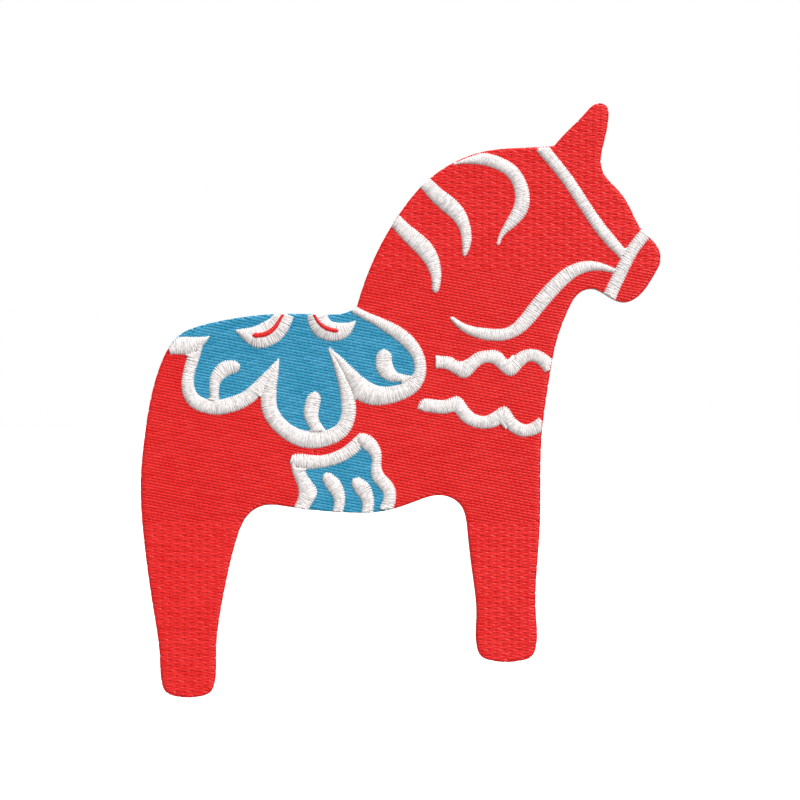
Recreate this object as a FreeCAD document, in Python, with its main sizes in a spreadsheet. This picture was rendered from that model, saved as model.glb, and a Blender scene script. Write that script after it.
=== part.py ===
import FreeCAD, Part
import os
from FreeCAD import Vector

# An embroidered patch in the shape of a dala horse, worn upright: X runs from tail to muzzle,
# Z runs up, the stitched face looks along -Y and the open back lies on the plane Y = 0.
# The origin is on the back, at the middle of the horse.
# Points are in millimetres on the horse as first drawn and stretch with its width and height.
drawn_width = 100.0
drawn_height = 114.0
knots_per_span = 3

driving_sizes = [
    # overall outline of the stitching
    ("horse_width", 100.0, "tail edge to muzzle"),
    ("horse_height", 114.0, "hind foot to ear tip"),
    ("fore_foot_width", 11.1, "width of the fore foot"),
    ("hind_foot_width", 9.9, "width of the hind foot"),
    ("foot_radius", 2.6, "rounding of the feet"),
    ("cloth_rim", 0.2, "cloth left showing around the stitching"),
    ("underlay_inset", 0.8, "underlay stays this far inside its fill"),
    # the layers, from the back to the face
    ("bobbin_thickness", 0.2, "bobbin thread on the back"),
    ("stabiliser_thickness", 0.35, "cut-away stabiliser"),
    ("twill_thickness", 0.4, "twill ground cloth"),
    ("underlay_thickness", 0.15, "underlay stitches"),
    ("fill_thickness", 0.4, "tatami fill"),
    ("satin_thickness", 0.45, "raised satin columns"),
    ("accent_thickness", 0.25, "red accents on the satin"),
    # heights of the seams between fill sections
    ("throat_seam", 25.1, "head fill to shoulder fill"),
    ("saddle_seam", 10.6, "upper to lower saddle fill"),
    ("chest_seam", -7.6, "shoulder fill to forequarter fill"),
    ("rump_seam", -17.5, "rump fill to haunch fill"),
    ("leg_seam", -23.4, "body fills to leg fills"),
    ("flank_seam", -16.5, "rump fill to shoulder fill, along X"),
    # satin columns at their widest
    ("mane_width", 3.5, "locks of the mane"),
    ("strap_width", 2.45, "cheek strap"),
    ("noseband_width", 2.7, "noseband"),
    ("jaw_line_width", 3.05, "line under the jaw"),
    ("wave_width", 2.6, "waves of the collar"),
    ("wedge_width", 3.5, "wedge at the tail end of the saddle"),
    ("petal_border_width", 3.2, "borders of the saddle petals"),
    ("petal_comma_width", 3.2, "commas inside the petals"),
    ("crescent_width", 4.4, "crescents on the back line"),
    ("accent_width", 1.15, "red accents inside the crescents"),
    ("girth_border_width", 2.7, "borders of the girth panel"),
    ("girth_comma_width", 3.1, "commas inside the girth panel"),
]

doc = FreeCAD.newDocument("dala_horse_patch")
sizes = doc.addObject("Spreadsheet::Sheet", "sizes")
for row, (alias, value, meaning) in enumerate(driving_sizes, start=1):
    sizes.set(f"A{row}", alias)
    sizes.set(f"B{row}", str(value))
    sizes.setAlias(f"B{row}", alias)
    sizes.set(f"C{row}", meaning)
doc.recompute()

# Depth of each layer's back face behind the plane Y = 0, as expressions on the sheet.
stabiliser_back = "sizes.bobbin_thickness"
twill_back = f"{stabiliser_back} + sizes.stabiliser_thickness"
underlay_back = f"{twill_back} + sizes.twill_thickness"
fill_back = f"{underlay_back} + sizes.underlay_thickness"
satin_back = f"{fill_back} + sizes.fill_thickness"
accent_back = f"{satin_back} + sizes.satin_thickness"
stack_depth = f"{accent_back} + sizes.accent_thickness"

nodes = []


def size(alias):
    return float(sizes.get(alias))


def place(x, z):
    """A point of the drawing, stretched to the horse's present width and height."""
    return Vector(x * size("horse_width") / drawn_width, z * size("horse_height") / drawn_height, 0)


def smooth(points):
    curve = Part.BSplineCurve()
    curve.interpolate(points)
    return curve


def short_spans(edge):
    """A long curve as shorter ones end to end, so that each stays simple; other edges as they are."""
    if not isinstance(edge, Part.BSplineCurve):
        return [edge]
    knots = edge.getKnots()
    stops = knots[:-1:knots_per_span] + [knots[-1]]
    spans = []
    for low, high in zip(stops, stops[1:]):
        span = edge.copy()
        span.segment(low, high)
        spans.append(span)
    return spans


def as_node(shape_object, label):
    shape_object.Label = label
    nodes.append(shape_object)
    return shape_object


# ---- outlines of strokes -------------------------------------------------------------------

def stroke_outline(stations, width, start="flat", end="flat"):
    """Edges of a satin column: a centre line with a share of the full width at each station."""
    points = [place(x, z) for x, z, share in stations]
    spine = smooth(points)
    left = []
    right = []
    for point, (x, z, share) in zip(points, stations):
        along = spine.tangent(spine.parameter(point))[0]
        across = Vector(-along.y, along.x, 0) * (width * share / 2)
        left.append(point + across)
        right.append(point - across)
    edges = [smooth(left), smooth(right)]
    edges.append(end_edge(points[0], left[0], right[0], -1, start))
    edges.append(end_edge(points[-1], left[-1], right[-1], 1, end))
    return edges


def end_edge(centre, left, right, direction, kind):
    if kind == "flat":
        return Part.LineSegment(left, right)
    half = (left - right) / 2
    outward = Vector(half.y, -half.x, 0) * direction
    return Part.Arc(left, centre + outward, right)


# ---- ways of making solids -----------------------------------------------------------------

def padded_body(name, edges, back, thickness):
    """A body whose sketch lies across Y and is padded towards the face."""
    body = doc.addObject("PartDesign::Body", name)
    sketch = body.newObject("Sketcher::SketchObject", f"{name}_sketch")
    plane = [item for item in body.Origin.OriginFeatures if item.Role == "XZ_Plane"][0]
    sketch.AttachmentSupport = [(plane, "")]
    sketch.MapMode = "FlatFace"
    for edge in edges:
        sketch.addGeometry(short_spans(edge), False)
    pad = body.newObject("PartDesign::Pad", f"{name}_pad")
    pad.Profile = sketch
    pad.setExpression("Length", thickness)
    sketch.Visibility = False
    body.setExpression(".Placement.Base.y", f"-({back})")
    return body


def common(name, base, tool):
    result = doc.addObject("Part::Common", name)
    result.Base = base
    result.Tool = tool
    return result


def cut(name, base, tool):
    result = doc.addObject("Part::Cut", name)
    result.Base = base
    result.Tool = tool
    return result


def block(name, low_x, high_x, low_z, high_z):
    """A box through the whole patch, between two X and two Z expressions."""
    box = doc.addObject("Part::Box", name)
    box.setExpression("Length", f"({high_x}) - ({low_x})")
    box.setExpression("Height", f"({high_z}) - ({low_z})")
    box.setExpression("Width", f"2 * ({stack_depth})")
    box.setExpression(".Placement.Base.x", low_x)
    box.setExpression(".Placement.Base.y", f"-1.5 * ({stack_depth})")
    box.setExpression(".Placement.Base.z", low_z)
    return box


# ---- outline of the horse ------------------------------------------------------------------

def foot(middle, width, bottom):
    """Points down one side of a foot, across it and up the other, from the muzzle side."""
    half = size(width) / 2
    radius = size("foot_radius")
    centre = place(middle, bottom)
    corner = 0.3 * radius
    return [
        centre + Vector(half, radius, 0),
        centre + Vector(half - corner, corner, 0),
        centre + Vector(half - radius, 0, 0),
        centre + Vector(radius - half, 0, 0),
        centre + Vector(corner - half, corner, 0),
        centre + Vector(-half, radius, 0),
    ]


def drawn(points):
    return [place(x, z) for x, z in points]


def grown(curve, points, growth):
    """The points of a clockwise curve, moved out from the horse by the growth."""
    moved = []
    for point in points:
        along = curve.tangent(curve.parameter(point))[0]
        moved.append(point + Vector(-along.y, along.x, 0) * growth)
    return moved


def mitre(before, after, corner, growth):
    """A corner between two curves, moved out so that it stays the growth away from both."""
    first = before.tangent(before.LastParameter)[0]
    second = after.tangent(after.FirstParameter)[0]
    outward = Vector(-first.y - second.y, first.x + second.x, 0)
    return corner + outward * (growth / (1 + first.dot(second)))


def horse_edges(growth):
    """The horse from the ear down over muzzle, belly and tail to the withers, then up the crest."""
    face = [(29.8, 48.8), (32.4, 51.7), (35.6, 54.9), (37.0, 56.4), (38.5, 57.0), (39.7, 56.4), (40.0, 54.7),
            (39.2, 50.0), (38.5, 45.7), (38.9, 43.9), (41.9, 40.3), (44.2, 36.8), (46.2, 33.0), (48.1, 31.0),
            (49.6, 29.1), (50.0, 27.0), (48.7, 24.0), (45.9, 20.2), (43.4, 19.0), (40.9, 19.7), (36.9, 21.6),
            (34.8, 21.0), (32.2, 17.4), (30.2, 12.2), (28.6, 4.4), (27.2, -6.0), (26.9, -14.0),
            (26.8, -24.0), (26.1, -34.0), (26.0, -41.0)]
    arch = [(14.9, -41.5), (14.2, -34.0), (13.2, -25.5), (11.6, -19.9), (8.0, -18.2), (3.4, -19.2),
            (-3.0, -21.2), (-10.5, -21.5), (-17.0, -21.0), (-21.5, -20.4), (-26.4, -20.2), (-29.2, -21.8),
            (-31.5, -26.2), (-33.5, -34.0), (-35.0, -42.0), (-35.6, -48.0)]
    quarters = [(-46.1, -49.5), (-47.3, -40.5), (-49.1, -27.5), (-49.8, -16.0), (-48.9, -6.0), (-46.9, 4.0),
                (-45.4, 8.1), (-42.6, 12.2), (-38.2, 14.2), (-31.0, 15.7), (-24.0, 16.4), (-14.0, 16.3),
                (-10.2, 16.7), (-8.1, 18.1)]
    neck = [(-8.1, 18.1), (-6.2, 23.9), (-3.4, 30.1), (0.2, 36.0), (4.4, 41.2), (9.9, 45.3), (16.2, 47.7),
            (23.0, 48.4), (29.8, 48.8)]
    outline_points = drawn(face) + foot(20.5, "fore_foot_width", -50.0) + drawn(arch)
    outline_points += foot(-40.8, "hind_foot_width", -56.9) + drawn(quarters)
    crest_points = drawn(neck)
    outline = smooth(outline_points)
    crest = smooth(crest_points)
    withers = mitre(outline, crest, crest_points[0], growth)
    ear_base = mitre(crest, outline, crest_points[-1], growth)
    outline_inner = grown(outline, outline_points[1:-1], growth)
    crest_inner = grown(crest, crest_points[1:-1], growth)
    return [smooth([ear_base] + outline_inner + [withers]), smooth([withers] + crest_inner + [ear_base])]


# ---- centre lines of the satin columns: along X, along Z, share of the full width ----------

mane_locks = {
    "mane_lock_rear": [(-2.4, 36.4, 0.70), (-0.7, 34.3, 0.78), (1.6, 31.95, 0.91), (3.7, 30.1, 1.00),
                       (5.5, 28.0, 0.94), (6.6, 25.6, 0.75), (6.95, 23.7, 0.60), (6.85, 21.6, 0.46)],
    "mane_lock_middle": [(3.6, 43.0, 0.74), (5.3, 41.3, 0.80), (7.3, 39.25, 0.90), (9.45, 37.5, 0.97),
                         (11.3, 35.6, 0.85), (12.5, 33.1, 0.67), (12.8, 30.9, 0.58), (12.5, 28.4, 0.33)],
    "mane_lock_front": [(9.6, 45.4, 0.10), (13.1, 46.2, 0.46), (16.3, 46.35, 0.72), (18.9, 45.6, 0.75),
                        (21.2, 44.3, 0.77), (22.8, 42.1, 0.79), (23.55, 39.5, 0.84), (23.3, 37.1, 0.86),
                        (22.1, 35.0, 0.74), (20.7, 33.35, 0.51), (19.6, 31.9, 0.32), (19.0, 30.3, 0.24)],
}

cheek_strap = [(25.6, 50.5, 1.05), (27.5, 48.3, 1.05), (29.6, 45.8, 1.00), (31.6, 43.3, 1.00),
               (34.1, 39.7, 0.98), (36.3, 36.3, 0.97), (38.5, 33.15, 1.00), (40.8, 30.4, 0.98),
               (42.6, 28.4, 0.86), (43.9, 26.9, 0.80)]

noseband = [(48.4, 33.4, 0.93), (46.7, 31.4, 0.93), (44.9, 29.1, 0.93), (43.5, 26.6, 0.95),
            (42.2, 24.0, 0.98), (41.1, 21.7, 1.00), (39.9, 18.9, 1.04)]

jaw_line = [(42.4, 24.3, 0.34), (40.0, 25.3, 0.44), (37.2, 25.8, 0.66), (34.5, 25.35, 0.82),
            (32.0, 23.95, 0.93), (29.9, 22.0, 0.98), (27.45, 19.3, 1.00), (25.2, 16.5, 0.98),
            (22.9, 14.0, 0.88), (20.2, 12.65, 0.80), (17.4, 12.6, 0.82), (13.9, 13.25, 0.65),
            (11.6, 14.4, 0.46), (10.2, 15.6, 0.32)]

collar_wave_upper = [(7.0, 7.3, 1.02), (8.2, 7.25, 0.98), (9.7, 6.95, 1.02), (11.2, 6.2, 1.12),
                     (12.3, 5.85, 1.32), (13.6, 6.75, 1.10), (15.0, 7.85, 1.02), (17.0, 8.4, 0.98),
                     (19.0, 7.8, 1.04), (20.1, 6.8, 1.06), (21.3, 6.2, 1.30), (22.6, 7.3, 1.06),
                     (23.8, 8.25, 1.00), (25.4, 8.65, 0.96), (27.3, 7.9, 1.02), (28.8, 6.4, 1.10),
                     (30.2, 4.6, 1.10)]

collar_wave_lower = [(3.5, -1.65, 0.12), (5.0, -0.95, 1.02), (7.2, -1.3, 1.04), (9.2, -1.2, 1.08),
                     (10.8, -0.8, 1.24), (12.1, -2.2, 1.04), (13.8, -3.75, 1.02), (16.0, -4.3, 1.00),
                     (18.3, -3.75, 1.10), (19.85, -2.95, 1.40), (21.2, -4.3, 1.04), (22.6, -5.45, 1.00),
                     (24.3, -5.9, 0.98), (26.2, -5.3, 1.00), (28.4, -3.8, 1.05)]

saddle_wedge = [(-45.6, 10.3, 1.05), (-43.4, 10.45, 0.98), (-41.0, 10.45, 1.02), (-39.2, 10.9, 0.76),
                (-37.9, 11.5, 0.44), (-36.8, 12.2, 0.10)]

petal_rear = [(-39.3, 10.2, 0.78), (-40.0, 7.6, 0.78), (-40.7, 5.0, 0.77), (-40.85, 2.6, 0.82),
              (-39.9, 0.2, 0.88), (-37.7, -1.1, 0.90), (-35.0, -1.4, 0.94), (-32.3, -0.85, 0.97),
              (-29.9, 0.15, 0.93), (-27.9, 1.75, 0.86), (-26.4, 3.75, 0.62), (-25.0, 5.7, 0.36),
              (-23.7, 7.8, 0.08)]

petal_middle = [(-23.45, 7.9, 0.08), (-24.1, 5.2, 0.50), (-24.9, 2.8, 0.80), (-25.3, 0.5, 0.98),
                (-25.1, -1.8, 1.00), (-23.9, -4.0, 0.98), (-21.7, -6.1, 1.00), (-19.0, -7.4, 1.06),
                (-16.5, -7.7, 1.06), (-13.7, -7.2, 0.98), (-11.4, -5.95, 0.95), (-10.15, -3.8, 0.92),
                (-9.9, -1.4, 0.95), (-10.2, 1.0, 0.86), (-10.95, 3.5, 0.68), (-11.9, 6.0, 0.50),
                (-12.9, 8.2, 0.31), (-13.75, 10.0, 0.08)]

petal_front = [(-10.4, 18.9, 0.46), (-8.6, 17.3, 0.50), (-5.6, 15.75, 0.56), (-2.4, 14.1, 0.75),
               (0.3, 12.35, 0.86), (2.6, 10.0, 0.82), (3.8, 7.4, 0.75), (3.75, 4.9, 0.80),
               (2.6, 3.0, 0.92), (0.4, 1.6, 1.00), (-2.3, 0.9, 1.10), (-5.1, 0.95, 1.28),
               (-7.5, 2.1, 1.32), (-9.4, 4.6, 0.92), (-11.1, 6.9, 0.60), (-12.6, 8.8, 0.32),
               (-13.8, 10.05, 0.06)]

petal_commas = {
    "petal_comma_rear": [(-32.3, 6.3, 0.86), (-33.8, 5.95, 0.95), (-35.0, 4.85, 0.86), (-35.7, 3.2, 0.70),
                         (-35.8, 1.6, 0.62), (-35.6, -0.6, 0.60)],
    "petal_comma_middle": [(-16.6, 0.0, 0.92), (-17.0, -1.4, 0.95), (-17.15, -2.8, 0.92),
                           (-16.75, -4.2, 0.80), (-15.9, -5.6, 0.76), (-15.0, -6.9, 0.76)],
    "petal_comma_front": [(-3.1, 8.0, 1.02), (-3.1, 6.8, 1.05), (-2.6, 5.6, 1.02), (-1.5, 4.7, 0.78),
                          (0.1, 4.25, 0.54), (2.4, 3.9, 0.46)],
}

crescents = {
    "crescent_rear": [(-31.5, 13.35, 0.10), (-29.8, 12.75, 0.55), (-27.7, 12.15, 0.98), (-25.3, 12.85, 1.12),
                      (-23.5, 14.2, 1.00), (-22.3, 16.4, 0.86), (-21.8, 18.0, 0.84)],
    "crescent_front": [(-16.1, 18.0, 0.90), (-15.9, 16.0, 0.94), (-15.3, 14.4, 0.96), (-13.9, 13.35, 0.92),
                       (-12.2, 13.15, 0.84), (-10.5, 13.6, 0.64), (-9.4, 14.4, 0.34), (-8.7, 15.1, 0.10)],
}

accents = {
    "accent_rear": [(-27.7, 12.45, 0.95), (-26.4, 12.55, 0.95), (-25.0, 13.15, 0.90), (-23.9, 14.2, 0.80),
                    (-23.0, 15.6, 0.60), (-22.2, 17.0, 0.50)],
    "accent_front": [(-16.8, 17.2, 0.45), (-16.1, 15.6, 0.55), (-15.1, 14.4, 0.75), (-13.8, 13.65, 0.85),
                     (-12.4, 13.35, 0.80)],
}

girth_border_rear = [(-19.2, -22.6, 1.00), (-18.8, -20.4, 1.08), (-17.7, -17.8, 1.36),
                     (-18.7, -15.6, 1.04), (-19.6, -13.4, 0.94), (-19.9, -11.4, 0.86)]

girth_border_top = [(-20.9, -11.5, 0.70), (-19.2, -11.75, 1.10), (-16.2, -11.95, 1.00),
                    (-13.4, -11.5, 0.95), (-10.9, -10.5, 0.95), (-8.8, -9.0, 0.98), (-7.2, -7.2, 0.80)]

girth_border_front = [(-7.7, -7.0, 0.62), (-6.4, -8.1, 1.10), (-5.0, -9.6, 0.96), (-4.5, -11.3, 0.78),
                      (-4.6, -13.0, 0.80), (-4.2, -14.8, 0.96), (-2.9, -16.2, 0.98), (-2.0, -17.9, 0.96),
                      (-2.2, -19.8, 0.98), (-2.8, -22.4, 1.02)]

girth_commas = {
    "girth_comma_rear": [(-13.7, -15.3, 0.84), (-12.9, -16.2, 0.98), (-12.1, -17.5, 0.90),
                         (-11.65, -19.0, 0.76), (-11.8, -20.6, 0.70), (-12.2, -22.6, 0.68)],
    "girth_comma_front": [(-8.0, -16.3, 0.88), (-7.2, -17.1, 1.02), (-6.5, -18.3, 0.90),
                          (-6.15, -19.6, 0.80), (-6.2, -20.9, 0.76), (-6.4, -22.6, 0.74)],
}


def centre_line(stations, first=0, last=None):
    return smooth([place(x, z) for x, z, share in stations[first:last]])


def linked(*curves):
    """The curves, and the straight steps that join them into one closed outline."""
    edges = []
    for curve, following in zip(curves, curves[1:] + curves[:1]):
        edges.append(curve)
        edges.append(Part.LineSegment(curve.EndPoint, following.StartPoint))
    return edges


def saddle_edges():
    """The blue saddle reaches to the middle of its satin borders, and past the back line."""
    above = Part.LineSegment(place(-12.0, 22.0), place(-48.0, 22.0))
    wedge = centre_line(saddle_wedge, 0, 3)
    rear = centre_line(petal_rear, 1, 10)
    middle = centre_line(petal_middle, 3, 14)
    front = centre_line(petal_front, 0, 13)
    front.reverse()
    return linked(above, wedge, rear, middle, front)


def girth_edges():
    """The blue girth panel reaches to the middle of its satin borders, and past the belly."""
    rear = centre_line(girth_border_rear, 0, 5)
    top = centre_line(girth_border_top, 1, 6)
    front = centre_line(girth_border_front, 1)
    return linked(rear, top, front)


# ---- the blanks that the pieces are cut from -----------------------------------------------

def blanks():
    """Horse, saddle and girth prisms through the whole patch."""
    horse = padded_body("horse_blank", horse_edges(0), "0", stack_depth)
    saddle = padded_body("saddle_blank", saddle_edges(), "0", stack_depth)
    girth = padded_body("girth_blank", girth_edges(), "0", stack_depth)
    return horse, saddle, girth


# ---- cloth ---------------------------------------------------------------------------------

def cloth_layers():
    edges = horse_edges(size("cloth_rim"))
    as_node(padded_body("twill", edges, twill_back, "sizes.twill_thickness"), "twill_ground")
    as_node(padded_body("stabiliser", edges, stabiliser_back, "sizes.stabiliser_thickness"),
            "cutaway_stabiliser")


# ---- fills, underlay and bobbin thread -----------------------------------------------------

def thread_areas(name, saddle, girth, growth, back, thickness):
    """One layer of thread, divided into its red, saddle and girth areas."""
    whole = padded_body(f"{name}_horse", horse_edges(growth), back, thickness)
    without_saddle = cut(f"{name}_without_saddle", whole, saddle)
    red = cut(f"{name}_red", without_saddle, girth)
    blue_saddle = common(f"{name}_saddle", whole, saddle)
    blue_girth = common(f"{name}_girth", whole, girth)
    return red, blue_saddle, blue_girth


def seam_height(alias):
    """A seam moves up and down with the horse's height, as the drawn points do."""
    return f"sizes.{alias} * sizes.horse_height / {drawn_height}"


def red_sections(red):
    reach = "sizes.horse_width"
    high = "sizes.horse_height"
    throat = seam_height("throat_seam")
    chest = seam_height("chest_seam")
    rump = seam_height("rump_seam")
    legs = seam_height("leg_seam")
    flank = f"sizes.flank_seam * sizes.horse_width / {drawn_width}"
    sections = [
        ("red_fill_head", f"-{reach}", reach, throat, high),
        ("red_fill_shoulder", flank, reach, chest, throat),
        ("red_fill_forequarter", flank, reach, legs, chest),
        ("red_fill_foreleg", flank, reach, f"-{high}", legs),
        ("red_fill_rump", f"-{reach}", flank, rump, throat),
        ("red_fill_haunch", f"-{reach}", flank, legs, rump),
        ("red_fill_hindleg", f"-{reach}", flank, f"-{high}", legs),
    ]
    for label, low_x, high_x, low_z, high_z in sections:
        box = block(f"{label}_block", low_x, high_x, low_z, high_z)
        as_node(common(label, red, box), label)


def saddle_sections(saddle_area):
    reach = "sizes.horse_width"
    high = "sizes.horse_height"
    middle = seam_height("saddle_seam")
    upper = block("saddle_upper_block", f"-{reach}", reach, middle, high)
    lower = block("saddle_lower_block", f"-{reach}", reach, f"-{high}", middle)
    as_node(common("saddle_fill_upper", saddle_area, upper), "saddle_fill_upper")
    as_node(common("saddle_fill_lower", saddle_area, lower), "saddle_fill_lower")


# ---- satin columns -------------------------------------------------------------------------

def satin_blank(name, stations, width, start="flat", end="flat"):
    edges = stroke_outline(stations, size(width), start, end)
    return padded_body(f"{name}_blank", edges, satin_back, "sizes.satin_thickness")


def satin_nodes(horse):
    """Columns that are stitched later lie over the ends of the earlier ones."""
    for label, stations in mane_locks.items():
        lock = satin_blank(label, stations, "mane_width", end="round")
        as_node(common(label, lock, horse), label)

    band = satin_blank("noseband", noseband, "noseband_width")
    strap = satin_blank("cheek_strap", cheek_strap, "strap_width")
    jaw = satin_blank("jaw_line", jaw_line, "jaw_line_width", end="round")
    as_node(common("noseband", band, horse), "noseband")
    strap_inside = common("cheek_strap_inside", strap, horse)
    as_node(cut("cheek_strap", strap_inside, band), "cheek_strap")
    as_node(cut("jaw_line", jaw, band), "jaw_line")

    upper = satin_blank("collar_wave_upper", collar_wave_upper, "wave_width")
    lower = satin_blank("collar_wave_lower", collar_wave_lower, "wave_width")
    as_node(common("collar_wave_upper", upper, horse), "collar_wave_upper")
    as_node(common("collar_wave_lower", lower, horse), "collar_wave_lower")

    wedge = satin_blank("saddle_wedge", saddle_wedge, "wedge_width")
    rear = satin_blank("petal_border_rear", petal_rear, "petal_border_width")
    middle = satin_blank("petal_border_middle", petal_middle, "petal_border_width")
    front = satin_blank("petal_border_front", petal_front, "petal_border_width")
    as_node(common("saddle_wedge", wedge, horse), "saddle_wedge")
    rear_free = cut("petal_border_rear_free", rear, wedge)
    as_node(cut("petal_border_rear", rear_free, middle), "petal_border_rear")
    as_node(middle, "petal_border_middle")
    front_inside = common("petal_border_front_inside", front, horse)
    as_node(cut("petal_border_front", front_inside, middle), "petal_border_front")

    borders = {"petal_comma_rear": rear, "petal_comma_middle": middle, "petal_comma_front": front}
    for label, stations in petal_commas.items():
        comma = satin_blank(label, stations, "petal_comma_width", start="round")
        as_node(cut(label, comma, borders[label]), label)

    for label, stations in crescents.items():
        crescent = satin_blank(label, stations, "crescent_width")
        as_node(common(label, crescent, horse), label)

    girth_rear = satin_blank("girth_border_rear", girth_border_rear, "girth_border_width")
    girth_top = satin_blank("girth_border_top", girth_border_top, "girth_border_width")
    girth_front = satin_blank("girth_border_front", girth_border_front, "girth_border_width")
    as_node(cut("girth_border_top", girth_top, girth_front), "girth_border_top")
    rear_inside = common("girth_border_rear_inside", girth_rear, horse)
    as_node(cut("girth_border_rear", rear_inside, girth_top), "girth_border_rear")
    as_node(common("girth_border_front", girth_front, horse), "girth_border_front")

    for label, stations in girth_commas.items():
        comma = satin_blank(label, stations, "girth_comma_width", start="round")
        as_node(common(label, comma, horse), label)


def accent_nodes(horse):
    """Narrow red columns stitched on top of the crescents."""
    caps = {"accent_rear": ("round", "flat"), "accent_front": ("flat", "round")}
    for label, stations in accents.items():
        start, end = caps[label]
        edges = stroke_outline(stations, size("accent_width"), start, end)
        blank = padded_body(f"{label}_blank", edges, accent_back, "sizes.accent_thickness")
        as_node(common(label, blank, horse), label)


# ---- the assembly --------------------------------------------------------------------------

horse, saddle, girth = blanks()
cloth_layers()

red_under, saddle_under, girth_under = thread_areas("underlay", saddle, girth, -size("underlay_inset"),
                                                    underlay_back, "sizes.underlay_thickness")
as_node(red_under, "underlay_red")
as_node(saddle_under, "underlay_saddle")
as_node(girth_under, "underlay_girth")

red_fill, saddle_area, girth_area = thread_areas("fill", saddle, girth, 0,
                                                 fill_back, "sizes.fill_thickness")
red_sections(red_fill)
saddle_sections(saddle_area)
as_node(girth_area, "girth_fill")

red_back, saddle_back, girth_back = thread_areas("bobbin", saddle, girth, 0,
                                                 "0", "sizes.bobbin_thickness")
as_node(red_back, "bobbin_thread_red_area")
as_node(saddle_back, "bobbin_thread_saddle")
as_node(girth_back, "bobbin_thread_girth")

satin_nodes(horse)
accent_nodes(horse)

doc.recompute()

for item in doc.Objects:
    if "Invalid" in item.State or "Error" in item.State:
        raise RuntimeError(f"{item.Name} did not recompute: {item.State}")
for node in nodes:
    shape = node.Shape
    if shape.isNull() or not shape.isValid() or not shape.Solids:
        raise RuntimeError(f"{node.Label} has no sound solid")

os.makedirs("parts", exist_ok=True)
for node in nodes:
    node.Shape.exportStep(f"parts/{node.Label}.step")
    print(f"{node.Label}: {len(node.Shape.Solids)} solids, {node.Shape.Volume:.2f} mm3")
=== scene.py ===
import math
import random

import bmesh
import bpy
import numpy as np
from mathutils import Matrix, Vector


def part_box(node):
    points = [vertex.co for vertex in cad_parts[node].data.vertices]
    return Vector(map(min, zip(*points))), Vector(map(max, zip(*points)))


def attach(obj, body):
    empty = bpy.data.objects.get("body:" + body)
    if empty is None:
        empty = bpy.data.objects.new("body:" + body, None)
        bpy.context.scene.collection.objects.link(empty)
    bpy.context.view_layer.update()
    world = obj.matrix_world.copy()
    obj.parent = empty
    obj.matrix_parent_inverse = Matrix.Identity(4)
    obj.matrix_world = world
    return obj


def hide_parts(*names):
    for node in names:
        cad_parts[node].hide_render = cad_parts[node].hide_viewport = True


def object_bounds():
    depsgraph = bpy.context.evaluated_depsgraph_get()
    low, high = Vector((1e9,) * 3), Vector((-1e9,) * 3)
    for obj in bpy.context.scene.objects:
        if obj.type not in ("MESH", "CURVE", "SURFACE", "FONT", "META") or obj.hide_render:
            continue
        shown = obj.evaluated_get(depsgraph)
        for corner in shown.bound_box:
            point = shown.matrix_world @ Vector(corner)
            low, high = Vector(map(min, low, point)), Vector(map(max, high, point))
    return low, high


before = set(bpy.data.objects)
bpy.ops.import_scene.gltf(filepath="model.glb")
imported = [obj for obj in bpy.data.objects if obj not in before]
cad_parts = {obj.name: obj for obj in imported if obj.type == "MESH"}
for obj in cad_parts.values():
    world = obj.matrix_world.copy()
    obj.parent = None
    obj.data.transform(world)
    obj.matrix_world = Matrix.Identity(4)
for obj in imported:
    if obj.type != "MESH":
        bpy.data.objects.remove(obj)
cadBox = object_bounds()
print("frame loaded:", len(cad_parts), "nodes")

mm = 0.001  # everything is in metres, and thread is easier to think of in millimetres


# Shader nodes

class Wire:
    # an output socket that can be added, multiplied and so on as if it were a number
    def __init__(self, tree, socket=None):
        self.tree = tree
        self.socket = socket

    def node(self, kind, settings, sockets, output=0):
        made = self.tree.nodes.new(kind)
        for name, value in settings.items():
            setattr(made, name, value)
        for name, value in sockets.items():
            if isinstance(value, Wire):
                self.tree.links.new(value.socket, made.inputs[name])
            else:
                made.inputs[name].default_value = value
        return Wire(self.tree, made.outputs[output])

    def sums(self, operation, first, second):
        return self.node("ShaderNodeMath", {"operation": operation}, {0: first, 1: second})

    def __add__(self, other):
        return self.sums("ADD", self, other)

    def __sub__(self, other):
        return self.sums("SUBTRACT", self, other)

    def __rsub__(self, other):
        return self.sums("SUBTRACT", other, self)

    def __mul__(self, other):
        return self.sums("MULTIPLY", self, other)

    def __pow__(self, other):
        return self.sums("POWER", self, other)

    def sine(self):
        return self.sums("SINE", self, 0.0)

    def blend(self, first, second):
        # one colour turning into another as this wire goes from 0 to 1
        settings = {"data_type": "RGBA", "clamp_factor": True}
        return self.node("ShaderNodeMix", settings, {0: self, 6: first, 7: second}, 2)


def newFinish(name):
    finish = bpy.data.materials.new(name)
    finish.use_nodes = True
    finish.node_tree.nodes.clear()
    return finish, Wire(finish.node_tree)


def closeFinish(tree, shader):
    out = tree.nodes.new("ShaderNodeOutputMaterial")
    tree.links.new(shader.socket, out.inputs["Surface"])


def opaque(colour):
    return (*colour, 1.0)


# Thread finishes. Each thread is twisted from two plies. Its colour has a painted highlight on the crown of
# a stitch and painted shade where it sinks to the needle hole.

# crown is the lit colour and hole the shaded colour of each thread; blending between them paints highlight
# and shade
threadColours = {
    "redThread": {"crown": (0.77, 0.016, 0.016), "hole": (0.66, 0.000, 0.000), "ticks": 0.9, "shade": 0.6,
                  "gloss": 0.36, "roughness": 0.24},
    "blueThread": {"crown": (0.046, 0.325, 0.52), "hole": (0.000, 0.22, 0.38), "ticks": 0.9, "shade": 0.6,
                   "gloss": 0.42, "roughness": 0.24},
    "whiteThread": {"crown": (0.90, 0.85, 0.835), "hole": (0.58, 0.55, 0.54), "ticks": 3.6, "shade": 0.3,
                    "gloss": 0.12, "roughness": 0.36},
    "bobbinThread": {"crown": (0.80, 0.79, 0.77), "hole": (0.62, 0.61, 0.59), "ticks": 1.0, "shade": 0.5,
                     "gloss": 0.12, "roughness": 0.36},
}

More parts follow.
